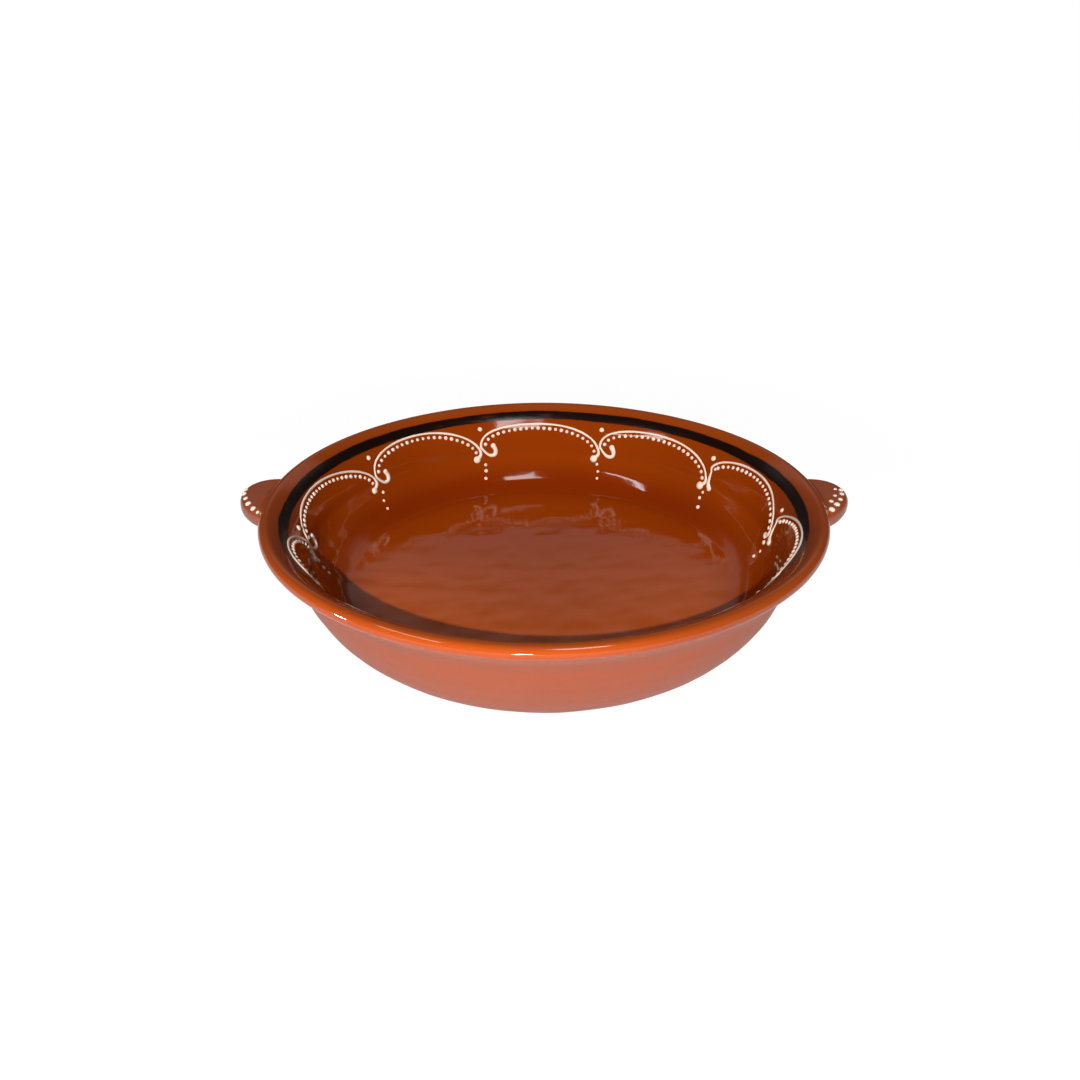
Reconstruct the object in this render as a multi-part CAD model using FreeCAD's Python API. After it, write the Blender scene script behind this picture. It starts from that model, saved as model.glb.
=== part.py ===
import FreeCAD, Part
import math
import os

from FreeCAD import Vector

# A round hand-thrown clay dish with two ear handles. Millimetres, +Z up.
# The origin is the centre of the flat base, and the ears lie along +X and -X.
# The wall is one section turned about Z. In that section r is the distance
# from the axis, and every curve runs smoothly into the next one.

# Overall
rim_diameter = 280.0        # outside of the rounded lip
rim_height = 65.0           # table to the top of the lip

# Outside of the wall
base_diameter = 180.0       # flat that the dish rests on
rim_overhang = 15.0         # the neck is this far inside the lip's outside
neck_drop = 25.0            # the neck is this far below the top of the lip
belly_bulge = 6.8           # outside wall beyond a straight line from base to neck

# Inside of the wall
wall_thickness = 7.0        # at the flared rim, whose lip is fully rounded
floor_thickness = 14.0      # in the middle, where the floor is lowest
floor_dishing = 4.5         # the floor's edge above its middle
floor_inset = 25.0          # the floor turns up into the cove this far inside the neck
cove_pull = 8.0             # length of the floor's line that steers the cove
wall_pull = 10.0            # length of the wall's line that steers the cove

# The section's curves are turned as chords that stay this close to them
chord_error = 0.28
lip_chord_error = 0.2

# Ear handles
ear_reach = 16.0            # ear's tip beyond the lip
ear_nose_radius = 23.5      # plan radius of the ear's rounded end
ear_blend_radius = 14.0     # plan radius of the hollow where ear meets rim
ear_thickness = 9.5
ear_drop = 2.5              # top of the ear below the top of the lip
ear_edge_radius = 4.2       # rounding of the ear's upper and lower edges

rim_radius = rim_diameter / 2
base_radius = base_diameter / 2
lip_radius = wall_thickness / 2
neck_radius = rim_radius - rim_overhang
floor_radius = neck_radius - floor_inset
neck_height = rim_height - neck_drop


def section_point(r, z):
    return Vector(r, 0, z)


def polar(centre, radius, angle):
    """Point of the section at a distance and an angle from a centre."""
    return centre + Vector(math.cos(angle), 0, math.sin(angle)) * radius


def arc_edge(centre, radius, start_angle, end_angle):
    """Arc in the section plane from one angle to another, either way round."""
    middle = polar(centre, radius, (start_angle + end_angle) / 2)
    start = polar(centre, radius, start_angle)
    end = polar(centre, radius, end_angle)
    return Part.Arc(start, middle, end).toShape()


def angle_of(vector):
    return math.atan2(vector.z, vector.x)


def lip_centre():
    return section_point(rim_radius - lip_radius, rim_height - lip_radius)


def belly():
    """Arc from the base's edge up to the neck, and its direction at the neck."""
    start = section_point(base_radius, 0)
    end = section_point(neck_radius, neck_height)
    chord = end - start
    outward = Vector(chord.z, 0, -chord.x).normalize()
    middle = (start + end) / 2 + outward * belly_bulge
    rise = 2 * math.atan(2 * belly_bulge / chord.Length)
    return Part.Arc(start, middle, end).toShape(), angle_of(chord) + rise


def flare(neck_direction):
    """Centre and radius of the hollow arc that leaves the neck and touches the lip."""
    neck = section_point(neck_radius, neck_height)
    side = Vector(math.sin(neck_direction), 0, -math.cos(neck_direction))
    offset = neck - lip_centre()
    spread = offset.Length ** 2 - lip_radius ** 2
    radius = spread / (2 * (lip_radius - offset.dot(side)))
    return neck + side * radius, radius


def cove(neck_inside, neck_direction):
    """Curve from the neck down the inside of the wall to the floor's edge."""
    floor_edge = section_point(floor_radius, floor_thickness + floor_dishing)
    along_wall = polar(Vector(), wall_pull, neck_direction)
    along_floor = polar(Vector(), cove_pull, floor_slope())
    curve = Part.BezierCurve()
    curve.setPoles([
        neck_inside,
        neck_inside - along_wall,
        floor_edge + along_floor,
        floor_edge,
    ])
    return curve.toShape()


def floor_slope():
    """Angle at which the dished floor rises at its edge."""
    return 2 * math.atan(floor_dishing / floor_radius)


def dished_floor():
    """Shallow arc from the floor's edge to its middle."""
    radius = (floor_radius ** 2 + floor_dishing ** 2) / (2 * floor_dishing)
    centre = section_point(0, floor_thickness + radius)
    return arc_edge(centre, radius, floor_slope() - math.pi / 2, -math.pi / 2)


def wall_curves():
    """Curves of the section in order, from the base's edge over the lip to the
    floor's middle, each with how close its chords stay to it."""
    belly_arc, neck_direction = belly()
    flare_centre, flare_radius = flare(neck_direction)
    lip = lip_centre()
    to_neck = neck_direction + math.pi / 2
    to_lip = angle_of(lip - flare_centre)
    inside_radius = flare_radius + wall_thickness
    neck_inside = polar(flare_centre, inside_radius, to_neck)
    return [
        (belly_arc, chord_error),
        (arc_edge(flare_centre, flare_radius, to_neck, to_lip), chord_error),
        (arc_edge(lip, lip_radius, to_lip - math.pi, to_lip), lip_chord_error),
        (arc_edge(flare_centre, inside_radius, to_lip, to_neck), chord_error),
        (cove(neck_inside, neck_direction), chord_error),
        (dished_floor(), chord_error),
    ]


def wall_section():
    """Closed outline of the section: the base, the curves as chords and the axis."""
    points = [section_point(0, 0)]
    for curve, closeness in wall_curves():
        chords = curve.discretize(Deflection=closeness)
        points += chords[:-1]
    points.append(section_point(0, floor_thickness))
    return Part.makePolygon(points + points[:1])


def turned_body():
    face = Part.Face(wall_section())
    return face.revolve(Vector(0, 0, 0), Vector(0, 0, 1), 360)


def flare_at(height, depth):
    """Distance from the axis to the flare at a height, some depth into its wall."""
    centre, radius = flare(belly()[1])
    return centre.x - math.sqrt((radius + depth) ** 2 - (height - centre.z) ** 2)


def plan_point(centre_x, radius, angle):
    """Point of the plan at a distance and an angle from a centre on the X axis."""
    return Vector(centre_x + radius * math.cos(angle), radius * math.sin(angle), 0)


def plan_arc(centre_x, radius, start_angle, end_angle):
    points = [plan_point(centre_x, radius, angle)
              for angle in (start_angle, (start_angle + end_angle) / 2, end_angle)]
    return Part.Arc(*points).toShape()


def ears_outline(root_radius):
    """Plan of a ring with two ears: round noses, and a hollow blend each side of each."""
    nose_x = rim_radius + ear_reach - ear_nose_radius
    to_axis = root_radius + ear_blend_radius
    to_nose = ear_nose_radius + ear_blend_radius
    blend_x = (to_axis ** 2 - to_nose ** 2 + nose_x ** 2) / (2 * nose_x)
    blend_y = math.sqrt(to_axis ** 2 - blend_x ** 2)
    root_angle = math.atan2(blend_y, blend_x)
    nose_angle = math.atan2(blend_y, blend_x - nose_x)
    blend = Vector(blend_x, blend_y, 0)
    towards = Vector(math.cos((root_angle + nose_angle) / 2),
                     math.sin((root_angle + nose_angle) / 2), 0)
    upper_blend = Part.Arc(
        plan_point(0, root_radius, root_angle),
        blend - towards * ear_blend_radius,
        plan_point(nose_x, ear_nose_radius, nose_angle),
    ).toShape()
    lower_blend = upper_blend.mirror(Vector(0, 0, 0), Vector(0, 1, 0))
    nose = plan_arc(nose_x, ear_nose_radius, -nose_angle, nose_angle)
    right = [upper_blend, nose, lower_blend]
    left = [edge.mirror(Vector(0, 0, 0), Vector(1, 0, 0)) for edge in right]
    back = plan_arc(0, root_radius, root_angle, math.pi - root_angle)
    front = plan_arc(0, root_radius, -root_angle, root_angle - math.pi)
    return Part.Wire(Part.__sortEdges__(right + left + [back, front]))


def ears():
    """Both ears, on a ring that lies inside the wall."""
    top = rim_height - ear_drop
    bottom = top - ear_thickness
    plan = Part.Face(ears_outline(flare_at(bottom, 0)))
    plan.translate(Vector(0, 0, bottom))
    plate = plan.extrude(Vector(0, 0, ear_thickness))
    level_edges = [edge for edge in plate.Edges if edge.BoundBox.ZLength < 0.001]
    plate = plate.makeFillet(ear_edge_radius, level_edges)
    middle_of_wall = flare_at(bottom, lip_radius)
    inside = Part.makeCone(middle_of_wall, rim_radius - lip_radius, ear_thickness,
                           Vector(0, 0, bottom))
    return plate.cut(inside)


def dish():
    return turned_body().fuse(ears()).removeSplitter()


os.makedirs("parts", exist_ok=True)
dish().exportStep("parts/dish.step")
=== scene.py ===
import math
import random

import bpy
import numpy as np
from bpy.props import (
    FloatProperty,
    FloatVectorProperty,
    IntProperty,
    PointerProperty,
)
from mathutils import Euler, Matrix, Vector
from mathutils.bvhtree import BVHTree


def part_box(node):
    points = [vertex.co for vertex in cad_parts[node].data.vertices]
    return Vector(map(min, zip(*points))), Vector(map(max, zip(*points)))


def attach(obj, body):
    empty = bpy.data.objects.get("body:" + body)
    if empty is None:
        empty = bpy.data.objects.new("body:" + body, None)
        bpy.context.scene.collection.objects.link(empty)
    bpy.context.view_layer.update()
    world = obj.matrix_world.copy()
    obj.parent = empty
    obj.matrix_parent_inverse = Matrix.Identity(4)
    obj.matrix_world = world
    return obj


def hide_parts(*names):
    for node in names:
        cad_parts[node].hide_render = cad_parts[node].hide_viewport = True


bl_info = {
    "name": "Clay dish with trailed slip",
    "version": (1, 0, 0),
    "blender": (4, 5, 0),
    "location": "View3D > Sidebar > Clay dish",
    "description": "Glazed clay dish with two ear handles, a painted band and trailed slip",
    "category": "Add Mesh",
}

# Metres, Z up. The origin is the centre of the base, and the ears lie along X.
# "Run" is the way along the wall's section from the top of the lip: positive
# down the inside to the middle of the floor, negative down the outside.

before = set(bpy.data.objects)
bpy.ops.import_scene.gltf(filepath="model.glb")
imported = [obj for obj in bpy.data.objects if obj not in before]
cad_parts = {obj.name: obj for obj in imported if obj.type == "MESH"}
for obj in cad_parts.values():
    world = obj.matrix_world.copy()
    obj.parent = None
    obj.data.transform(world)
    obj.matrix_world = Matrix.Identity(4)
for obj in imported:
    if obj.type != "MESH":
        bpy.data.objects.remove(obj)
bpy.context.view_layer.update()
DISH_LOW, DISH_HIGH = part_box("dish")
MM = 0.001


def length_setting(name, description, metres, precision=4):
    return FloatProperty(name=name, description=description, default=metres,
                         unit="LENGTH", precision=precision)


def colour_setting(name, description, red_green_blue):
    return FloatVectorProperty(name=name, description=description, default=red_green_blue,
                               subtype="COLOR", size=3, min=0, max=1)


def power_setting(name, description, watts):
    return FloatProperty(name=name, description=description, default=watts,
                         subtype="POWER", unit="POWER")


class DishSizes(bpy.types.PropertyGroup):
    rim_diameter: length_setting(
        "Rim diameter", "Outside of the rounded lip", round(DISH_HIGH.y - DISH_LOW.y, 3))
    rim_height: length_setting("Rim height", "Table to the top of the lip", round(DISH_HIGH.z, 4))
    base_diameter: length_setting("Base diameter", "Flat that the dish rests on", 0.180)
    rim_overhang: length_setting(
        "Rim overhang", "How far the neck is inside the lip's outside", 0.015)
    neck_drop: length_setting("Neck drop", "How far the neck is below the top of the lip", 0.025)
    belly_bulge: length_setting(
        "Belly bulge", "Outside wall beyond a straight line from base to neck", 0.0068)
    wall_thickness: length_setting("Wall thickness", "Thickness of the flared rim", 0.007)
    floor_thickness: length_setting("Floor thickness", "Clay under the middle of the floor", 0.014)
    floor_dishing: length_setting("Floor dishing", "The floor's edge above its middle", 0.0045)
    floor_inset: length_setting("Floor inset", "How far inside the neck the floor turns up", 0.025)
    cove_pull: length_setting(
        "Cove pull", "Length of the floor's line that steers the cove", 0.008)
    wall_pull: length_setting("Wall pull", "Length of the wall's line that steers the cove", 0.010)
    ear_reach: length_setting("Ear reach", "Tip of the ear beyond the lip", 0.016)
    ear_nose_radius: length_setting(
        "Ear nose radius", "Plan radius of the ear's rounded end", 0.0235)
    ear_blend_radius: length_setting(
        "Ear blend radius", "Plan radius of the hollow where ear meets rim", 0.014)
    ear_thickness: length_setting("Ear thickness", "Thickness of the ear", 0.0095)
    ear_drop: length_setting("Ear drop", "Top of the ear below the top of the lip", 0.0025)
    ear_edge_radius: length_setting("Ear edge radius", "Rounding of the ear's edges", 0.0042)
    ear_lean: FloatProperty(
        name="Ear lean", description="How far each ear leans to the back, per length outwards",
        default=0.38)
    base_rounding: length_setting("Base rounding", "Softening of the base's edge", 0.0012)
    hand_wobble: length_setting(
        "Hand wobble", "Height of the throwing rings and the uneven glaze", 0.00008, precision=5)


class SlipPattern(bpy.types.PropertyGroup):
    arches: IntProperty(
        name="Arches", description="Number of scallops round the wall", default=10, min=3)
    first_cusp: FloatProperty(
        name="First cusp", description="Azimuth of one cusp, from the back towards +X",
        default=math.radians(17.2), subtype="ANGLE")
    line_radius: length_setting(
        "Line radius", "Half the thickness of a trailed line", 0.00074, precision=5)
    dot_radius: length_setting(
        "Dot radius", "Radius of the dots under each arch", 0.00112, precision=5)
    dot_spacing: length_setting("Dot spacing", "From one dot under an arch to the next", 0.0036)
    dot_inset: length_setting("Dot inset", "From the arch's line to its row of dots", 0.0029)
    seed: IntProperty(
        name="Seed", description="Changes the small differences between arches", default=7)


class ClayColours(bpy.types.PropertyGroup):
    glaze: colour_setting("Glaze", "Glazed clay on the floor of the dish", (0.345, 0.056, 0.002))
    # glaze_tones also shows a lighter copy of it on the sides, as painted light.
    wall: colour_setting("Wall", "Glazed clay on the upper wall", (0.225, 0.031, 0.0010))
    # Deep is thick glaze, used in the cove and the mottle, and also painted shade: the cove's
    # darkest part at the back and the back of the floor.
    deep_glaze_and_shade: colour_setting(
        "Deep glaze", "Glazed clay in the cove, where the glaze is thick", (0.165, 0.017, 0.0005))
    rim: colour_setting("Rim", "Glazed clay on top of the lip", (0.245, 0.043, 0.006))
    # Lip is the thin glaze outside the lip as it looks under the key lamp at the front; glaze_tones
    # shows it only at the front, as painted light.
    lip: colour_setting(
        "Lip", "Glazed clay outside the lip, where the glaze is thin", (0.47, 0.072, 0.009))
    bare: colour_setting("Bare clay", "Unglazed clay outside", (0.355, 0.074, 0.027))
    ear: colour_setting("Ear", "Dull glaze on the ears", (0.25, 0.055, 0.020))
    band: colour_setting("Band", "Painted band under the lip", (0.008, 0.003, 0.002))
    slip: colour_setting("Slip", "Trailed lines and dots", (0.80, 0.63, 0.51))


class StudioLight(bpy.types.PropertyGroup):
    key: power_setting("Key light", "Small lamp in front", 62.0)
    spark: power_setting("Sparks", "Each of the two small low lamps", 6.0)
    box: power_setting("Right light", "Soft lamp high in front, to the right", 3.5)
    strip: power_setting("Left light", "Long narrow lamp to the left", 2.2)
    top: power_setting("Top light", "Large soft lamp overhead", 0.3)
    ambient: FloatProperty(
        name="Ambient", description="Brightness of the room", default=0.07, min=0)
    backdrop: FloatProperty(
        name="Backdrop", description="Brightness of the backdrop in the glaze",
        default=0.34, min=0)


def polar(centre, radius, angle):
    angle = np.atleast_1d(angle)
    return np.stack([centre[0] + radius * np.cos(angle),
                     centre[1] + radius * np.sin(angle)], axis=1)


def bezier(a, b, c, d, count):
    t = np.linspace(0, 1, count)[:, None]
    return ((1 - t) ** 3 * a + 3 * (1 - t) ** 2 * t * b
            + 3 * (1 - t) * t * t * c + t ** 3 * d)


def run_along(points):
    steps = np.hypot(*np.diff(points, axis=0).T)
    return np.concatenate([[0.0], np.cumsum(steps)])


class Path:
    """A line in the section plane that can be asked for its point at any run."""

    def __init__(self, points):
        keep = np.concatenate([[True], np.hypot(*np.diff(points, axis=0).T) > 1e-9])
        self.points = points[keep]
        self.run = run_along(self.points)
        self.length = self.run[-1]

    def at(self, run):
        return np.stack([np.interp(run, self.run, self.points[:, 0]),
                         np.interp(run, self.run, self.points[:, 1])], axis=-1)


class Section:
    """The wall's section: outside from the base to the lip's top, inside from there to the axis."""

    def __init__(self, sizes):
        self.sizes = sizes
        self.rim_radius = sizes.rim_diameter / 2
        base_radius = sizes.base_diameter / 2
        lip_radius = sizes.wall_thickness / 2
        neck = np.array([self.rim_radius - sizes.rim_overhang,
                         sizes.rim_height - sizes.neck_drop])
        self.floor_radius = neck[0] - sizes.floor_inset
        base = np.array([base_radius, 0.0])
        lip = np.array([self.rim_radius - lip_radius, sizes.rim_height - lip_radius])
        bulge = sizes.belly_bulge

        # Belly: an arc that stands out from the straight line base to neck
        chord = neck - base
        length = np.hypot(*chord)
        out = np.array([chord[1], -chord[0]]) / length
        radius = ((length / 2) ** 2 + bulge ** 2) / (2 * bulge)
        centre = (base + neck) / 2 + out * (bulge - radius)
        start, end = (math.atan2(*(p - centre)[::-1]) for p in (base, neck))
        belly = polar(centre, radius, np.linspace(start, end, 160))
        neck_direction = math.atan2(chord[1], chord[0]) + 2 * math.atan(2 * bulge / length)

        # Flare: a hollow arc from the neck to the lip's circle
        side = np.array([math.sin(neck_direction), -math.cos(neck_direction)])
        offset = neck - lip
        flare_radius = (offset @ offset - lip_radius ** 2) / (2 * (lip_radius - offset @ side))
        flare_centre = neck + side * flare_radius
        to_neck = neck_direction + math.pi / 2
        to_lip = math.atan2(*(lip - flare_centre)[::-1])
        self.flare_centre, self.flare_radius = flare_centre, flare_radius
        flare = polar(flare_centre, flare_radius, np.linspace(to_neck, to_lip, 160))
        lip_outside = polar(lip, lip_radius, np.linspace(to_lip - math.pi, math.pi / 2, 120))
        lip_inside = polar(lip, lip_radius, np.linspace(math.pi / 2, to_lip, 40))
        inner = polar(flare_centre, flare_radius + sizes.wall_thickness,
                      np.linspace(to_lip, to_neck, 200))
        wall = np.array([math.cos(neck_direction), math.sin(neck_direction)])

        # Cove, and the floor as a shallow arc that sinks to the middle
        dishing = sizes.floor_dishing
        slope = 2 * math.atan(dishing / self.floor_radius)
        floor_edge = np.array([self.floor_radius, sizes.floor_thickness + dishing])
        floor_line = np.array([math.cos(slope), math.sin(slope)])
        cove = bezier(inner[-1], inner[-1] - wall * sizes.wall_pull,
                      floor_edge + floor_line * sizes.cove_pull, floor_edge, 240)
        bowl = (self.floor_radius ** 2 + dishing ** 2) / (2 * dishing)
        floor = polar((0.0, sizes.floor_thickness + bowl), bowl,
                      np.linspace(slope, 0, 160) - math.pi / 2)

        # The base's edge is softened by a short curve that ends a little up the belly
        rounding = sizes.base_rounding
        belly_path = Path(belly)
        foot_run = rounding * 1.4
        foot = bezier(base - [rounding, 0.0], base - [rounding * 0.35, 0.0],
                      belly_path.at(rounding * 0.5), belly_path.at(foot_run), 20)
        above_foot = belly[belly_path.run > foot_run + 1e-6]
        self.outside = Path(np.vstack([foot, above_foot, flare, lip_outside]))
        self.inside = Path(np.vstack([lip_inside, inner, cove, floor]))
        self.to_floor = self.inside.length - bowl * slope

    def flare_at(self, height):
        rise = height - self.flare_centre[1]
        return self.flare_centre[0] - math.sqrt(self.flare_radius ** 2 - rise ** 2)


class EarPlan:
    """Plan of the ears: how far a point is outside the plate that they are cut from."""

    def __init__(self, section):
        sizes = section.sizes
        self.top = sizes.rim_height - sizes.ear_drop
        self.bottom = self.top - sizes.ear_thickness
        self.edge = sizes.ear_edge_radius
        self.root = section.flare_at(self.bottom)
        self.nose = sizes.ear_nose_radius
        self.blend = sizes.ear_blend_radius
        self.nose_x = section.rim_radius + sizes.ear_reach - self.nose
        self.lean, self.lean_from = sizes.ear_lean, section.rim_radius - EAR_LEAN_INSET
        to_axis = self.root + self.blend
        to_nose = self.nose + self.blend
        self.blend_x = (to_axis ** 2 - to_nose ** 2 + self.nose_x ** 2) / (2 * self.nose_x)
        self.blend_y = math.sqrt(to_axis ** 2 - self.blend_x ** 2)

    def distance(self, x, y):
        x = np.abs(x)
        y = np.abs(y - self.lean * np.maximum(x - self.lean_from, 0))
        from_x, from_y = x - self.blend_x, y - self.blend_y
        to_root = (-self.blend_x, -self.blend_y)
        to_nose = (self.nose_x - self.blend_x, -self.blend_y)
        past_root = to_root[0] * from_y - to_root[1] * from_x
        before_nose = from_x * to_nose[1] - from_y * to_nose[0]
        in_wedge = (past_root > 0) & (before_nose > 0)
        plain = np.minimum(np.hypot(x - self.nose_x, y) - self.nose,
                           np.hypot(x, y) - self.root)
        return np.where(in_wedge, self.blend - np.hypot(from_x, from_y), plain)

    def solid(self, r, angle, z):
        """Negative inside the plate, whose level edges are rounded."""
        out = np.maximum(self.distance(r * np.cos(angle), r * np.sin(angle)) + self.edge, 0)
        half = (self.top - self.bottom) / 2
        up = np.maximum(np.abs(z - (self.top + self.bottom) / 2) - (half - self.edge), 0)
        return np.hypot(out, up) - self.edge


def softer_max(a, b, width):
    near = np.clip(width - np.abs(a - b), 0, None) / width
    return np.maximum(a, b) + near * near * width / 4


EAR_SPAN = math.radians(14.2)      # half of the angle round the dish that an ear takes
EAR_LEAN_INSET = 0.004             # the ear's lean starts this far inside the rim
EAR_ZONE_DEPTH = 0.019             # the ear's rows start this far below the top of the lip
EAR_EYE_INSET = 0.0095             # rays that find the ear start this far inside the rim
EAR_SEARCH = 0.05                  # and are this long
EAR_ROOT_SOFTNESS = 0.0013
SEARCH_STEPS = 26
ZONE_SAMPLES = 620

# Columns of the mesh across half an ear, and from there to a quarter; rows of each part
EAR_COLUMNS, QUARTER_COLUMNS = 46, 54
EAR_ROWS, FOOT_ROWS, BELLY_ROWS, WALL_ROWS, FLOOR_ROWS = 58, 7, 44, 84, 46
UNDER_SHARES = (0.12, 0.3, 0.5, 0.68, 0.83, 0.93, 0.975)     # of the base's radius


def column_angles():
    """Angles from +X of the mesh's columns, closer together across the ears."""
    fine = np.linspace(0, EAR_SPAN, EAR_COLUMNS + 1)
    coarse = np.linspace(EAR_SPAN, math.pi / 2, QUARTER_COLUMNS + 1)[1:]
    quarter = np.concatenate([fine, coarse])
    half = np.concatenate([quarter, math.pi - quarter[-2::-1]])
    return np.concatenate([half, -half[-2:0:-1] + 2 * math.pi])


def ear_zone(section, plan, angles):
    """Upper part of the outside in every column, with the ear where the column has one."""
    path = section.outside
    height = section.sizes.rim_height
    start = np.interp(height - EAR_ZONE_DEPTH, path.points[:, 1], path.run)
    runs = np.linspace(start, path.length, ZONE_SAMPLES)
    plain = path.at(runs)
    eye = np.array([section.rim_radius - EAR_EYE_INSET, (plan.top + plan.bottom) / 2])
    away = plain - eye
    plain_reach = np.hypot(*away.T)
    direction = away / plain_reach[:, None]
    near = np.zeros((len(angles), len(runs)))
    far = np.full_like(near, EAR_SEARCH)
    for _ in range(SEARCH_STEPS):
        middle = (near + far) / 2
        inside = plan.solid(eye[0] + middle * direction[:, 0], angles[:, None],
                            eye[1] + middle * direction[:, 1]) < 0
        near, far = np.where(inside, middle, near), np.where(inside, far, middle)
    reach = softer_max(plain_reach, near, EAR_ROOT_SOFTNESS)
    outline = eye + reach[:, :, None] * direction
    outline[:, 0] = plain[0]
    outline[:, -1] = plain[-1]
    rows = np.linspace(0, 1, EAR_ROWS + 1)
    zone = np.empty((len(angles), EAR_ROWS + 1, 2))
    for index, line in enumerate(outline):
        run = run_along(line)
        for axis in (0, 1):
            zone[index, :, axis] = np.interp(rows * run[-1], run, line[:, axis])
    return zone, start


def waves(count, low, high, seed):
    """Fixed random plane waves, as (x, y) wave numbers and phases."""
    draw = random.Random(seed)
    table = []
    for _ in range(count):
        wavelength, heading = draw.uniform(low, high), draw.uniform(0, 2 * math.pi)
        number = 2 * math.pi / wavelength
        table.append((number * math.cos(heading), number * math.sin(heading),
                      draw.uniform(0, 2 * math.pi)))
    return table


def uneven(x, y, table):
    total = np.zeros_like(x)
    for kx, ky, phase in table:
        total += np.sin(kx * x + ky * y + phase)
    return total / math.sqrt(len(table))


def clay_grid(sizes):
    """Columns by rows of points, with each row's run, from under the base over the lip inwards."""
    section = Section(sizes)
    plan = EarPlan(section)
    angles = column_angles()
    zone, zone_start = ear_zone(section, plan, angles)

    foot = section.outside.points[0, 0]
    under = np.array(UNDER_SHARES) * foot
    under_points = np.stack([under, np.zeros_like(under)], axis=1)
    foot_runs = np.linspace(0, sizes.base_rounding * 1.8, FOOT_ROWS)
    belly_runs = np.linspace(foot_runs[-1], zone_start, BELLY_ROWS)[1:-1]
    outer_runs = np.concatenate([foot_runs, belly_runs])
    outer_points = section.outside.at(outer_runs)
    wall_runs = np.linspace(0, section.to_floor, WALL_ROWS)[1:]
    floor_runs = np.linspace(section.to_floor, section.inside.length, FLOOR_ROWS)[1:-1]
    inner_runs = np.concatenate([wall_runs, floor_runs])
    inner_points = section.inside.at(inner_runs)

    def in_every_column(points):
        return np.broadcast_to(points, (len(angles), *points.shape))

    grid = np.concatenate([in_every_column(under_points), in_every_column(outer_points),
                           zone, in_every_column(inner_points)], axis=1)
    total = section.outside.length
    zone_runs = np.linspace(zone_start, total, EAR_ROWS + 1) - total
    under_runs = under - foot - total
    runs = np.concatenate([under_runs, outer_runs - total, zone_runs, inner_runs])
    return section, angles, grid, runs


# Throwing rings: spacing, turn round the dish, phase, and height beside the wobble
RINGS = ((0.0095, 1, 0.0, 0.8), (0.0163, -1, 1.0, 0.6))
RINGS_LOST_ON_FLOOR = 0.93
BROAD_WAVES = (9, 0.018, 0.045, 3)     # count, shortest and longest wave, seed
FINE_WAVES = (9, 0.008, 0.016, 5)
BROAD_HEIGHT, FINE_HEIGHT, OUTSIDE_HEIGHT = 0.8, 0.30, 0.8
FADE = 0.012                           # the unevenness dies out over this length
STILL_BELOW, FULL_ABOVE = 0.001, 0.007     # outside, it grows between these heights
WARP_FROM, WARP_RISE = 0.03, 0.03      # where the rim's warp starts, and what it grows over
OUT_OF_ROUND, OUT_OF_LEVEL = 0.00022, 0.00018


def hand_shape(grid, angles, runs, sizes, section):
    """Moves the section's points a little, as a thrown and hand-glazed piece is uneven."""
    r, z = grid[:, :, 0], grid[:, :, 1]
    angle = angles[:, None]
    run = runs[None, :]
    x, y = r * np.cos(angle), r * np.sin(angle)
    on_floor = np.clip((run - section.to_floor + FADE) / FADE, 0, 1)
    down = np.gradient(grid, axis=1)
    length = np.maximum(np.hypot(down[:, :, 0], down[:, :, 1]), 1e-9)
    normal_r, normal_z = down[:, :, 1] / length, -down[:, :, 0] / length

    rings = sum(height * np.sin(run * 2 * math.pi / spacing + turn * angle + phase)
                for spacing, turn, phase, height in RINGS)
    rings = rings * (1 - RINGS_LOST_ON_FLOOR * on_floor)
    broad = uneven(x, y, waves(*BROAD_WAVES))
    fine = uneven(x, y, waves(*FINE_WAVES))
    lift = sizes.hand_wobble * (rings + BROAD_HEIGHT * broad + FINE_HEIGHT * fine)
    lift *= np.clip(np.abs(run) / FADE, 0, 1)
    off_middle = np.clip(r / FADE, 0, 1)
    off_table = np.clip((z - STILL_BELOW) / (FULL_ABOVE - STILL_BELOW), 0, 1)
    lift *= np.where(run > 0, off_middle, OUTSIDE_HEIGHT * off_table)
    r += lift * normal_r
    z += lift * normal_z

    warp = np.clip((z - WARP_FROM) / WARP_RISE, 0, 1) ** 2
    r += warp * OUT_OF_ROUND * (np.sin(2 * angle + 0.6) + 0.6 * np.sin(3 * angle + 2.0))
    z += warp * OUT_OF_LEVEL * (np.sin(2 * angle + 2.1) + 0.7 * np.sin(5 * angle))


GLAZE_EDGE = 0.0072            # the glaze ends this far below the top of the lip
EAR_GLAZE_EDGE = 0.003         # and this much lower on the ears,
EAR_GLAZE_STEP = 0.004         # by this far beyond the rim
EAR_STARTS, EAR_FULL = 0.0005, 0.0030  # beyond the rim, where the ears' dull glaze takes over
WELL_GLAZED = 0.02


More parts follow.
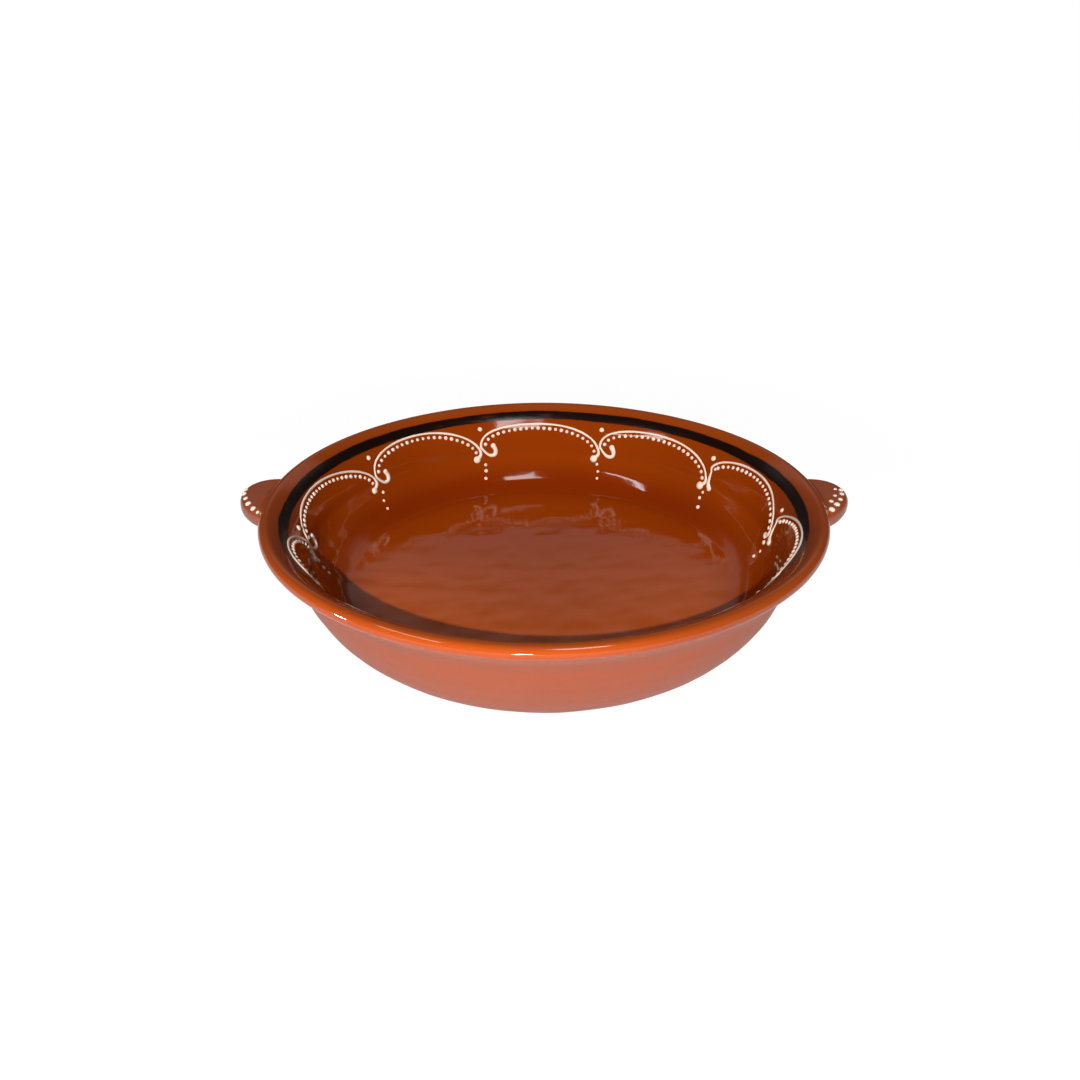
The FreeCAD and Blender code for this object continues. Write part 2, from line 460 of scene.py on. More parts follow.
def clay_mesh(name, sizes):
    section, angles, grid, runs = clay_grid(sizes)
    hand_shape(grid, angles, runs, sizes, section)
    columns, rows = grid.shape[:2]
    points = np.stack([grid[:, :, 0] * np.cos(angles)[:, None],
                       grid[:, :, 0] * np.sin(angles)[:, None],
                       grid[:, :, 1]], axis=2).reshape(-1, 3)
    under_pole, floor_pole = len(points), len(points) + 1
    floor_middle = grid[:, -1, 1].mean()
    points = np.vstack([points, [[0, 0, 0], [0, 0, floor_middle]]])

    column = np.arange(columns)
    after = (column + 1) % columns
    row = np.arange(rows - 1)
    quads = np.stack([
        column[:, None] * rows + row,
        after[:, None] * rows + row,
        after[:, None] * rows + row + 1,
        column[:, None] * rows + row + 1,
    ], axis=2).reshape(-1, 4)
    fans = []
    for here, beside in zip(column.tolist(), after.tolist()):
        fans.append([beside * rows, here * rows, under_pole])
    for here, beside in zip(column.tolist(), after.tolist()):
        fans.append([here * rows + rows - 1, beside * rows + rows - 1, floor_pole])
    mesh = bpy.data.meshes.new(name)
    mesh.from_pydata(points.tolist(), [], quads.tolist() + fans)

    under_middle = runs[0] - grid[0, 0, 0]
    run = np.concatenate([np.tile(runs, columns), [under_middle, section.inside.length]])
    beyond = np.hypot(points[:, 0], points[:, 1]) - section.rim_radius
    glaze_line = (sizes.rim_height - GLAZE_EDGE
                  - EAR_GLAZE_EDGE * np.clip(beyond / EAR_GLAZE_STEP, 0, 1))
    glazed = np.where(run > 0, WELL_GLAZED, points[:, 2] - glaze_line)
    ear = np.clip((beyond - EAR_STARTS) / (EAR_FULL - EAR_STARTS), 0, 1)
    for label, values in (("run", run), ("glazed", glazed), ("ear", ear)):
        layer = mesh.attributes.new(label, "FLOAT", "POINT")
        layer.data.foreach_set("value", values.astype(np.float32))
    mesh.shade_smooth()
    mesh.update()
    return mesh


class Nodes:
    """Adds and joins the nodes of one tree."""

    def __init__(self, tree):
        self.tree = tree
        tree.nodes.clear()

    def add(self, kind, **settings):
        node = self.tree.nodes.new(kind)
        for key, value in settings.items():
            setattr(node, key, value)
        return node

    def link(self, source, target):
        self.tree.links.new(source, target)

    def join(self, *joints):
        """Each joint is a node, the name of its output, another node and its input's name."""
        for source, leaving, target, entering in joints:
            self.link(source.outputs[leaving], target.inputs[entering])

    def feed(self, socket, value):
        if isinstance(value, bpy.types.NodeSocket):
            self.link(value, socket)
        else:
            socket.default_value = value

    def math(self, operation, a, b):
        node = self.add("ShaderNodeMath", operation=operation)
        self.feed(node.inputs[0], a)
        self.feed(node.inputs[1], b)
        return node.outputs[0]

    def ramp(self, value, start, end, low=0.0, high=1.0):
        node = self.add("ShaderNodeMapRange", interpolation_type="SMOOTHSTEP")
        self.feed(node.inputs["Value"], value)
        for key, number in (("From Min", start), ("From Max", end),
                            ("To Min", low), ("To Max", high)):
            node.inputs[key].default_value = number
        return node.outputs[0]

    def choose(self, factor, otherwise, chosen):
        node = self.add("ShaderNodeMixShader")
        for socket, source in zip(node.inputs, (factor, otherwise, chosen)):
            self.link(source, socket)
        return node.outputs[0]


class Finish(Nodes):
    """A material built node by node."""

    def __init__(self, name):
        self.material = bpy.data.materials.new(name)
        self.material.use_nodes = True
        super().__init__(self.material.node_tree)
        self.output = self.add("ShaderNodeOutputMaterial")
        self.shader = self.add("ShaderNodeBsdfPrincipled")
        self.link(self.shader.outputs[0], self.output.inputs[0])
        self.place = self.add("ShaderNodeTexCoord").outputs["Object"]

    def attribute(self, name):
        return self.add("ShaderNodeAttribute", attribute_name=name).outputs["Fac"]

    def noise(self, scale, detail=2.0, stretch=None, roughness=0.5):
        node = self.add("ShaderNodeTexNoise")
        place = self.place
        if stretch is not None:
            mapping = self.add("ShaderNodeMapping")
            self.link(self.place, mapping.inputs["Vector"])
            mapping.inputs["Scale"].default_value = stretch
            place = mapping.outputs[0]
        self.link(place, node.inputs["Vector"])
        node.inputs["Scale"].default_value = scale
        node.inputs["Detail"].default_value = detail
        node.inputs["Roughness"].default_value = roughness
        return node.outputs["Fac"]

    def mix(self, factor, a, b):
        node = self.add("ShaderNodeMix", data_type="RGBA")
        self.feed(node.inputs[0], factor)
        self.feed(node.inputs[6], a)
        self.feed(node.inputs[7], b)
        return node.outputs[2]

    def blend(self, factor, a, b):
        node = self.add("ShaderNodeMix", data_type="FLOAT")
        self.feed(node.inputs[0], factor)
        self.feed(node.inputs[2], a)
        self.feed(node.inputs[3], b)
        return node.outputs[0]

    def bump(self, height, distance):
        node = self.add("ShaderNodeBump")
        self.link(height, node.inputs["Height"])
        node.inputs["Distance"].default_value = distance
        return node.outputs[0]

    def shifted(self, value, noise, amount):
        """The value, moved either way by up to half the amount."""
        return self.math("ADD", value, self.math(
            "MULTIPLY", self.math("SUBTRACT", noise, 0.5), amount))


def opaque(colour, gain=1.0):
    return (*(min(1.0, value * gain) for value in colour), 1.0)


# Runs between which the glaze goes from one tone to the next
LIP_TO_RIM = (-0.0042, -0.0004)
RIM_TO_WALL = (0.002, 0.010)
WALL_TO_SIDE = (0.012, 0.024)
WALL_TO_COVE = (0.036, 0.052)
COVE_TO_FLOOR = (0.055, 0.080)
FLOOR_TO_MIDDLE = (0.085, 0.150)
BAND_START, BAND_END = (0.0064, 0.0073), (0.0124, 0.0132)
# Runs where a painted pale sheen under the lip starts and ends, and its colour; it stands in for
# the white floor's reflection.
UNDER_LIP_START, UNDER_LIP_END = (-0.024, -0.015), (-0.013, -0.008)
UNDER_LIP_SHEEN_COLOUR = (0.62, 0.30, 0.22)
EDGE_NOISE, BAND_NOISE = 0.0022, 0.0022    # how far the glaze's and the band's edges stray
BARE_ROUGHNESS, GLAZE_ROUGHNESS, BAND_ROUGHNESS, EAR_ROUGHNESS = 0.45, 0.07, 0.22, 0.24
CLAY_BUMP = 0.00022
SLIP_ROUGHNESS = 0.16


def glaze_tones(finish, colours, run, broad):
    """Thinner and lighter outside the lip, thick and dark in the cove, lighter on the floor; with
    painted light and shade as well: the lip bright at the front and darker to the right, the upper
    wall lighter but at the back, the cove darkest at the back, the floor's edge lighter and the
    back of the floor darker.
    """
    place = finish.add("ShaderNodeSeparateXYZ")
    finish.link(finish.place, place.inputs[0])
    across, back = place.outputs["X"], place.outputs["Y"]
    # Thin glaze outside the lip is a lighter copy of the rim towards the sides and back; painted
    # light gives it the bright Lip colour at the front, where the key lamp falls.
    lip = finish.mix(finish.ramp(back, -0.125, -0.050), opaque(colours.lip),
                     opaque(colours.rim, 1.3))
    # Painted shade: the outside of the lip darker towards the right.
    lip = finish.mix(finish.ramp(across, 0.010, 0.090, 0.0, 0.7), lip, opaque(colours.rim))
    glaze = finish.mix(finish.ramp(run, *LIP_TO_RIM), lip, opaque(colours.rim))
    glaze = finish.mix(finish.ramp(run, *RIM_TO_WALL), glaze, opaque(colours.wall))
    # Painted light: the upper wall takes a lighter copy of the wall colour everywhere but at the
    # back.
    side = finish.math("MULTIPLY", finish.ramp(run, *WALL_TO_SIDE),
                       finish.ramp(back, 0.025, 0.085, 1.0, 0.0))
    glaze = finish.mix(side, glaze, opaque(colours.wall, 1.25))
    # Thick glaze darkens the cove; painted shade gives the full darkening only at the back, and a
    # quarter of it at the front and sides.
    cove = finish.math("MULTIPLY", finish.ramp(run, *WALL_TO_COVE),
                       finish.ramp(back, 0.0, 0.08, 0.25, 1.0))
    glaze = finish.mix(cove, glaze, opaque(colours.deep_glaze_and_shade))
    # Painted light: the floor's edge is a lighter copy of the floor glaze, easing back to the plain
    # glaze towards the middle.
    glaze = finish.mix(finish.ramp(run, *COVE_TO_FLOOR), glaze, opaque(colours.glaze, 1.14))
    glaze = finish.mix(finish.ramp(run, *FLOOR_TO_MIDDLE), glaze, opaque(colours.glaze))
    # Painted shade: the back of the floor, from the cove inwards, takes part of the deep colour,
    # standing in for the dark reflection of the back wall in the glaze.
    back_floor_shade = finish.math("MULTIPLY", finish.ramp(back, -0.05, 0.055),
                         finish.ramp(run, 0.055, 0.075))
    glaze = finish.mix(finish.math("MULTIPLY", back_floor_shade, 0.60), glaze, opaque(colours.deep_glaze_and_shade))
    mottle = finish.ramp(broad, 0.35, 0.70)
    return finish.mix(finish.math("MULTIPLY", mottle, 0.16), glaze, opaque(colours.deep_glaze_and_shade))


def bare_tones(finish, colours, run, broad):
    """Unglazed clay, mottled and speckled, with a painted pale sheen just under the lip that stands
    in for the white floor's reflection.
    """
    speckle = finish.noise(420.0, 2.0)
    bare = finish.mix(finish.math("MULTIPLY", finish.ramp(broad, 0.3, 0.7), 0.25),
                      opaque(colours.bare), opaque(colours.bare, 0.86))
    bare = finish.mix(finish.math("MULTIPLY", finish.ramp(speckle, 0.55, 0.75), 0.18),
                      bare, opaque(colours.bare, 0.75))
    # Painted reflection: the pale band under the lip.
    under_lip_sheen = finish.math("MULTIPLY", finish.ramp(run, *UNDER_LIP_START),
                            finish.ramp(run, *UNDER_LIP_END, 1.0, 0.3))
    return finish.mix(finish.math("MULTIPLY", under_lip_sheen, 0.30), bare, opaque(UNDER_LIP_SHEEN_COLOUR))


def clay_finish(colours):
    finish = Finish("glazed_clay")
    run, ear = finish.attribute("run"), finish.attribute("ear")
    broad = finish.noise(14.0, 3.0)
    glazed = finish.shifted(finish.attribute("glazed"), finish.noise(55.0, 3.0), EDGE_NOISE)
    glaze_mask = finish.ramp(glazed, -0.0004, 0.0005)
    glaze = glaze_tones(finish, colours, run, broad)

    # Painted band with brushed edges
    brushed = finish.noise(26.0, 4.0, (1.0, 1.0, 7.0), 0.65)
    band_run = finish.shifted(run, brushed, BAND_NOISE)
    band = finish.math("MULTIPLY", finish.ramp(band_run, *BAND_START),
                       finish.ramp(band_run, *BAND_END, 1.0, 0.0))
    streaks = finish.ramp(finish.noise(60.0, 3.0, (1.0, 1.0, 6.0)), 0.60, 0.76, 1.0, 0.80)
    glaze = finish.mix(finish.math("MULTIPLY", band, streaks), glaze, opaque(colours.band))

    surface = finish.mix(glaze_mask, bare_tones(finish, colours, run, broad), glaze)
    finish.link(finish.mix(ear, surface, opaque(colours.ear)),
                finish.shader.inputs["Base Color"])
    gloss = finish.blend(glaze_mask, BARE_ROUGHNESS, GLAZE_ROUGHNESS)
    gloss = finish.blend(band, gloss, BAND_ROUGHNESS)
    finish.link(finish.blend(ear, gloss, EAR_ROUGHNESS), finish.shader.inputs["Roughness"])

    pits = finish.math("MULTIPLY", finish.noise(900.0, 2.0), 0.06)
    grain = finish.noise(160.0, 4.0)
    height = finish.blend(glaze_mask, grain, pits)
    finish.link(finish.bump(height, CLAY_BUMP), finish.shader.inputs["Normal"])
    return finish.material


def slip_finish(colours):
    finish = Finish("trailed_slip")
    tone = finish.ramp(finish.noise(220.0, 2.0), 0.35, 0.75)
    finish.link(finish.mix(finish.math("MULTIPLY", tone, 0.25), opaque(colours.slip),
                           opaque(colours.slip, 0.85)), finish.shader.inputs["Base Color"])
    finish.shader.inputs["Roughness"].default_value = SLIP_ROUGHNESS
    return finish.material


# One arch from its inner hook, over the top, to the round end past the next cusp:
# share of the arch's width from the cusp, and run in millimetres.
ARCH_LINE = (
    (0.103, 28.6), (0.121, 31.4), (0.112, 34.2), (0.068, 34.4), (0.025, 31.6),
    (0.000, 28.0), (0.018, 23.6), (0.070, 20.0), (0.160, 17.2), (0.275, 15.4),
    (0.400, 14.6), (0.530, 14.7), (0.660, 15.9), (0.780, 18.4), (0.880, 21.9),
    (0.950, 26.0), (0.988, 30.4), (0.990, 33.6), (0.955, 36.2),
)
# Its first points where an arch starts with a plain club in place of a hook
PLAIN_START = (
    (0.052, 36.0), (0.036, 34.6), (0.028, 32.8), (0.026, 30.6), (0.026, 28.6), (0.026, 26.4),
)
PLAIN_ARCHES = (1, 2)
HOOK_POINTS = 5                        # the line's first points, which make the hook
CLUB_POINTS = 3                        # and its last, which make the round end
ROW_START, ROW_STOP = 5.4, 16          # the dots' row goes along these of the line's points
POINT_STEPS = 8                        # the line is smoothed by this many steps a point
ARCH_LEAN = 0.02                       # share of the width by which a top leans either way
HOOK_STRAY, CLUB_STRAY = (-0.6, 0.9), (-0.5, 0.8)      # millimetres of run

# By arch: its cusp's azimuth beside an even division, and its top's run beside the line's
CUSP_STRAY = (0.0, 0.8, -0.4, 5.8, 3.8, 1.8, 0.0, -7.2, -0.9, -0.6)
TOP_STRAY = (0.9, -0.4, -3.6, -1.0, 0.3, -0.5, -3.4, -0.6, -1.2, 1.3)

# The drop over each cusp, the tail of three dots under it, and what they stray by: radians
# round the dish, run, and for the tail also size
DROP_RUN, DROP_SIZE = 0.0182, 1.3
DROP_ROUND, DROP_ALONG = 0.012, 0.0012
TAIL_RUNS = (0.0394, 0.0438, 0.0486)
TAIL_ROUND, TAIL_ALONG, TAIL_SIZE = (-0.01, 0.02), 0.0006, (0.9, 1.1)
HOOK_DOT, CLUB_DOT = 1.5, 2.0          # sizes of the dots at an arch's two ends

# Swelling of a line at its hook and its club, and how many points it takes
HOOK_SWELLING, HOOK_LENGTH = 1.25, 2.8
CLUB_SWELLING, CLUB_LENGTH = 0.95, 1.6
HAND_SWELLING = 0.10
SLIP_SINK = 0.42       # share of a line's radius that its middle lies under the surface
SLIP_STEP, SLIP_SIDES = 0.0006, 10
ARCH_INSET = 0.018     # the wall under the arches is about this far inside the rim
DOT_HEIGHT, DOT_UNEVENNESS = 0.6, 0.14

# Dots on the ears, in millimetres, with each dot's size beside a small dot's
EAR_DOTS = (
    (-155.3, 7.6, 1.1), (-154.4, 2.4, 1.2), (-151.6, -4.0, 1.3), (-148.2, -9.8, 1.3),
    (-144.6, -15.6, 1.2), (-141.9, -20.0, 1.0),
    (153.1, 6.3, 1.1), (152.3, 1.4, 1.2), (149.2, -5.0, 1.2), (145.8, -10.8, 1.3),
    (142.3, -16.8, 1.5), (150.2, 7.4, 0.9), (147.8, -0.6, 0.9), (144.0, -7.2, 1.0),
)


def smooth_line(points, steps):
    """Catmull-Rom curve through points, with the index of each step's segment."""
    points = np.asarray(points, float)
    ends = np.vstack([2 * points[0] - points[1], points, 2 * points[-1] - points[-2]])
    t = np.linspace(0, 1, steps, endpoint=False)[:, None]
    parts, places = [], []
    for i in range(len(points) - 1):
        a, b, c, d = ends[i:i + 4]
        parts.append(0.5 * (2 * b + (c - a) * t + (2 * a - 5 * b + 4 * c - d) * t ** 2
                            + (3 * b - a - 3 * c + d) * t ** 3))
        places.append(i + t[:, 0])
    parts.append(points[-1:])
    places.append([len(points) - 1])
    return np.vstack(parts), np.concatenate(places)


class Clay:
    """The dish's surface, for laying slip on."""

    def __init__(self, mesh, section):
        self.section = section
        points = [vertex.co.copy() for vertex in mesh.vertices]
        faces = [tuple(polygon.vertices) for polygon in mesh.polygons]
        self.tree = BVHTree.FromPolygons(points, faces)

    def settle(self, point):
        place, normal, _, _ = self.tree.find_nearest(Vector(point))
        if place is None:
            raise RuntimeError("the slip has no clay to lie on")
        return place, normal

    def on_wall(self, azimuth, run):
        """Point and normal inside the wall. Azimuth is from the back towards +X."""
        r, z = self.section.inside.at(run)
        return self.settle((r * math.sin(azimuth), r * math.cos(azimuth), z))


def cusp_azimuths(pattern):
    step = 2 * math.pi / pattern.arches
    return [pattern.first_cusp + i * step + math.radians(CUSP_STRAY[i % len(CUSP_STRAY)])
            for i in range(pattern.arches)]


def arch_shapes(pattern):
    """For every arch, its line as (azimuth, run) with the place along ARCH_LINE."""
    cusps = cusp_azimuths(pattern)
    draw = random.Random(pattern.seed)
    shapes = []
    for i, left in enumerate(cusps):
        right = cusps[(i + 1) % len(cusps)]
        width = (right - left) % (2 * math.pi)
        stray = TOP_STRAY[i % len(TOP_STRAY)]
        lean = draw.uniform(-ARCH_LEAN, ARCH_LEAN)
        hook, club = draw.uniform(*HOOK_STRAY), draw.uniform(*CLUB_STRAY)
        line = ARCH_LINE
        if i in PLAIN_ARCHES:
            line = PLAIN_START + ARCH_LINE[len(PLAIN_START):]
        points = []
        for j, (share, run) in enumerate(line):
            top = math.sin(math.pi * min(max(share, 0), 1)) if j >= HOOK_POINTS else 0.0
            run += stray * top
            if j < HOOK_POINTS:
                run += hook
            if j >= len(line) - CLUB_POINTS:
                run += club
            points.append((left + width * (share + lean * top), run * MM))
        shapes.append(smooth_line(points, POINT_STEPS))
    return shapes


def new_curve(name, lines):
    """A curve of open lines, each a list of (point, radius)."""
    data = bpy.data.curves.new(name, "CURVE")
    data.dimensions = "3D"
    for line in lines:
        spline = data.splines.new("POLY")
        spline.points.add(len(line) - 1)
        for slot, (point, radius) in zip(spline.points, line):
            slot.co = (*point, 1.0)
            slot.radius = radius
    guide = bpy.data.objects.new(name, data)
    bpy.context.scene.collection.objects.link(guide)
    return guide


def line_radius_at(place, last, pattern):
    """Thin along the arch, swelling to a club at both ends."""
    hook = HOOK_SWELLING * math.exp(-(place / HOOK_LENGTH) ** 2)
    club = CLUB_SWELLING * math.exp(-((last - place) / CLUB_LENGTH) ** 2)
    return pattern.line_radius * (1.0 + hook + club)


def slip_line_guides(clay, pattern):
    draw = random.Random(pattern.seed + 1)
    lines = []
    for shape, places in arch_shapes(pattern):
        line = []
        drift = draw.uniform(0, 6)
        last = places[-1]
        for (azimuth, run), place in zip(shape, places):
            radius = line_radius_at(place, last, pattern)
            radius *= 1 + HAND_SWELLING * math.sin(place * 2.3 + drift)
            point, normal = clay.on_wall(azimuth, run)
            line.append((point - normal * radius * SLIP_SINK, radius))
        lines.append(line)
    return new_curve("slip_line_guides", lines)


def slip_row_guides(clay, pattern):
    """One line under each arch, which its row of dots follows."""
    lines = []
    for shape, places in arch_shapes(pattern):
        kept = shape[(places >= ROW_START) & (places <= ROW_STOP)]
        around = clay.section.rim_radius - ARCH_INSET
        flat = np.stack([kept[:, 0] * around, kept[:, 1]], axis=1)
        along = np.gradient(flat, axis=0)
        along /= np.hypot(*along.T)[:, None]
        inward = np.stack([-along[:, 1], along[:, 0]], axis=1)
        flat = flat + inward * pattern.dot_inset
        line = []
        for across, run in flat:
            point, _ = clay.on_wall(across / around, run)
            line.append((point, pattern.dot_radius))
        lines.append(line)
    return new_curve("slip_row_guides", lines)


def slip_loose_guides(clay, pattern):
    """The drop over each cusp, the tail under it, the arches' ends and the dots on the ears."""
    draw = random.Random(pattern.seed + 2)
    small = pattern.dot_radius
    line = []
    for azimuth in cusp_azimuths(pattern):
        point, _ = clay.on_wall(azimuth + draw.uniform(-DROP_ROUND, DROP_ROUND),
                                DROP_RUN + draw.uniform(-DROP_ALONG, DROP_ALONG))
        line.append((point, small * DROP_SIZE))
        for run in TAIL_RUNS:
            point, _ = clay.on_wall(azimuth + draw.uniform(*TAIL_ROUND),
                                    run + draw.uniform(-TAIL_ALONG, TAIL_ALONG))
            line.append((point, small * draw.uniform(*TAIL_SIZE)))
    for shape, _ in arch_shapes(pattern):
        for (azimuth, run), size in ((shape[0], HOOK_DOT), (shape[-1], CLUB_DOT)):
            point, _ = clay.on_wall(azimuth, run)
            line.append((point, small * size))
    for x, y, size in EAR_DOTS:
        point, _ = clay.settle((x * MM, y * MM, clay.section.sizes.rim_height))
        line.append((point, small * size))
    return new_curve("slip_loose_guides", [line])


def add_tree(name, inputs):
    tree = bpy.data.node_groups.new(name, "GeometryNodeTree")
    tree.interface.new_socket("Geometry", in_out="INPUT", socket_type="NodeSocketGeometry")
    tree.interface.new_socket("Geometry", in_out="OUTPUT", socket_type="NodeSocketGeometry")
    for label, kind in inputs:
        tree.interface.new_socket(label, in_out="INPUT", socket_type=kind)
    nodes = Nodes(tree)
    return nodes, nodes.add("NodeGroupInput")


def end_tree(nodes, given, made):
    """What was made becomes one plain mesh with the slip on it."""
    realize = nodes.add("GeometryNodeRealizeInstances")
    paint = nodes.add("GeometryNodeSetMaterial")
    result = nodes.add("NodeGroupOutput")
    nodes.link(made, realize.inputs["Geometry"])
    nodes.join((realize, "Geometry", paint, "Geometry"), (given, "Slip", paint, "Material"),
               (paint, "Geometry", result, "Geometry"))
    return nodes.tree


def lines_tree():
    """A round bead along every line, as thick as the line's radius."""
    nodes, given = add_tree("trailed_lines", (
        ("Step", "NodeSocketFloat"), ("Sides", "NodeSocketInt"), ("Slip", "NodeSocketMaterial")))
    resample = nodes.add("GeometryNodeResampleCurve", mode="LENGTH")
    circle = nodes.add("GeometryNodeCurvePrimitiveCircle")
    circle.inputs["Radius"].default_value = 1.0
    radius = nodes.add("GeometryNodeInputRadius")
    bead = nodes.add("GeometryNodeCurveToMesh")
    bead.inputs["Fill Caps"].default_value = True
    smooth = nodes.add("GeometryNodeSetShadeSmooth")
    nodes.join(
        (given, "Geometry", resample, "Curve"), (given, "Step", resample, "Length"),
        (given, "Sides", circle, "Resolution"), (resample, "Curve", bead, "Curve"),
        (circle, "Curve", bead, "Profile Curve"), (radius, "Radius", bead, "Scale"),
        (bead, "Mesh", smooth, "Geometry"))
    return end_tree(nodes, given, smooth.outputs["Geometry"])


def low_dot(nodes, given):
    """A smooth ball, flattened to its height."""
    ball = nodes.add("GeometryNodeMeshUVSphere")
    for label, value in (("Segments", 12), ("Rings", 7), ("Radius", 1.0)):
        ball.inputs[label].default_value = value
    flatten = nodes.add("ShaderNodeCombineXYZ")
    for label in "XY":
        flatten.inputs[label].default_value = 1.0
    smooth = nodes.add("GeometryNodeSetShadeSmooth")
    low = nodes.add("GeometryNodeTransform")
    nodes.join((given, "Height", flatten, "Z"), (ball, "Mesh", smooth, "Geometry"),
               (smooth, "Geometry", low, "Geometry"), (flatten, "Vector", low, "Scale"))
    return low.outputs["Geometry"]


def uneven_size(nodes, given):
    """Each point's radius, a little more or less."""
    radius = nodes.add("GeometryNodeInputRadius")
    chance = nodes.add("FunctionNodeRandomValue", data_type="FLOAT")
    chance.inputs[2].default_value = -1.0
    chance.inputs[3].default_value = 1.0
    spread = nodes.add("ShaderNodeMath", operation="MULTIPLY_ADD")
    spread.inputs[2].default_value = 1.0
    nodes.join((given, "Seed", chance, "Seed"), (chance, 1, spread, 0),
               (given, "Unevenness", spread, 1))
    return nodes.math("MULTIPLY", radius.outputs["Radius"], spread.outputs[0])


def dots_tree(name, follow):
    """Low round dots that lie flat on the clay, along each line or at each of its points."""
    nodes, given = add_tree(name, (
        ("Clay", "NodeSocketObject"), ("Spacing", "NodeSocketFloat"),
        ("Height", "NodeSocketFloat"), ("Unevenness", "NodeSocketFloat"),
        ("Seed", "NodeSocketInt"), ("Slip", "NodeSocketMaterial")))
    points = nodes.add("GeometryNodeCurveToPoints", mode="LENGTH" if follow else "EVALUATED")
    if follow:
        nodes.join((given, "Spacing", points, "Length"))
    clay = nodes.add("GeometryNodeObjectInfo")
    place = nodes.add("GeometryNodeInputPosition")
    facing = nodes.add("GeometryNodeInputNormal")
    sample = nodes.add("GeometryNodeSampleNearestSurface", data_type="FLOAT_VECTOR")
    upright = nodes.add("FunctionNodeAlignRotationToVector", axis="Z")
    scatter = nodes.add("GeometryNodeInstanceOnPoints")
    nodes.join(
        (given, "Geometry", points, "Curve"), (given, "Clay", clay, "Object"),
        (clay, "Geometry", sample, "Mesh"), (facing, "Normal", sample, "Value"),
        (place, "Position", sample, "Sample Position"), (sample, "Value", upright, "Vector"),
        (points, "Points", scatter, "Points"), (upright, "Rotation", scatter, "Rotation"))
    nodes.link(low_dot(nodes, given), scatter.inputs["Instance"])
    nodes.link(uneven_size(nodes, given), scatter.inputs["Scale"])
    return end_tree(nodes, given, scatter.outputs["Instances"])


def give(modifier, tree, values):
    """Sets the tree's inputs on the modifier, by name."""
    modifier.node_group = tree
    for item in tree.interface.items_tree:
        if item.in_out == "INPUT" and item.name in values:
            modifier[item.identifier] = values[item.name]


def baked(guide, tree, values, name):
    """The evaluated result as a plain mesh, in place of the guide."""
    give(guide.modifiers.new(name, "NODES"), tree, values)
    graph = bpy.context.evaluated_depsgraph_get()
    mesh = bpy.data.meshes.new_from_object(guide.evaluated_get(graph), depsgraph=graph)
    if not mesh.polygons:
        raise RuntimeError(f"{name} came out empty")
    mesh.name = name
    data = guide.data
    bpy.data.objects.remove(guide)
    bpy.data.curves.remove(data)
    piece = bpy.data.objects.new(name, mesh)
    bpy.context.scene.collection.objects.link(piece)
    return piece


def shared(context):
    scene = context.scene
    return scene.dish_sizes, scene.dish_slip, scene.dish_colours, scene.dish_light


def laid_clay(context):
    dish = bpy.data.objects.get("dish_clay")
    if dish is None:
        raise RuntimeError("make the clay first")
    return dish, Clay(dish.data, Section(shared(context)[0]))


def slip_material(context):
    found = bpy.data.materials.get("trailed_slip")
    return found or slip_finish(shared(context)[2])


class DISH_OT_clay(bpy.types.Operator):
    """Makes the thrown dish with its two ears, glazed inside and bare outside"""
    bl_idname = "dish.clay"
    bl_label = "Clay"

    def execute(self, context):
        sizes, _, colours, _ = shared(context)
        mesh = clay_mesh("dish_clay", sizes)
        mesh.materials.append(clay_finish(colours))
        dish = bpy.data.objects.new("dish_clay", mesh)
        context.scene.collection.objects.link(dish)
        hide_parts("dish")
        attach(dish, "root")
        return {"FINISHED"}


class DISH_OT_slip_lines(bpy.types.Operator):
    """Trails the scalloped line inside the wall"""
    bl_idname = "dish.slip_lines"
    bl_label = "Slip lines"

    def execute(self, context):
        _, clay = laid_clay(context)
        guide = slip_line_guides(clay, shared(context)[1])
        piece = baked(guide, lines_tree(), {
            "Step": SLIP_STEP, "Sides": SLIP_SIDES, "Slip": slip_material(context)}, "slip_lines")
        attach(piece, "root")
        return {"FINISHED"}


class DISH_OT_slip_dots(bpy.types.Operator):
    """Sets the rows of dots under the arches, the drops, the tails and the dots on the ears"""
    bl_idname = "dish.slip_dots"
    bl_label = "Slip dots"

    def execute(self, context):
        dish, clay = laid_clay(context)
        pattern = shared(context)[1]
        values = {"Clay": dish, "Spacing": pattern.dot_spacing, "Height": DOT_HEIGHT,
                  "Unevenness": DOT_UNEVENNESS, "Seed": pattern.seed,
                  "Slip": slip_material(context)}
        rows = baked(slip_row_guides(clay, pattern), dots_tree("dots_in_rows", True),
                     values, "slip_row_dots")
        loose = baked(slip_loose_guides(clay, pattern), dots_tree("loose_dots", False),
                      values, "slip_loose_dots")
        for piece in (rows, loose):
            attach(piece, "root")
        return {"FINISHED"}


class DISH_OT_stage(bpy.types.Operator):
    """Makes the pale floor, the studio lamps, the room and the camera"""
    bl_idname = "dish.stage"
    bl_label = "Stage"

    def execute(self, context):
        light = shared(context)[3]
        build_floor()
        build_lamps(light)
        build_room(context.scene, light)
        build_camera(context.scene)
        context.scene.view_settings.view_transform = "Standard"
        return {"FINISHED"}


FLOOR_HALF = 6.0
FLOOR_TONE, SEEN_TONE = 0.80, 0.22     # to the light and the glaze, and to the camera
GLOW_REACH, GLOW = (0.25, 0.9), (0.83, 1.0)    # the floor's glow near the dish and away from it


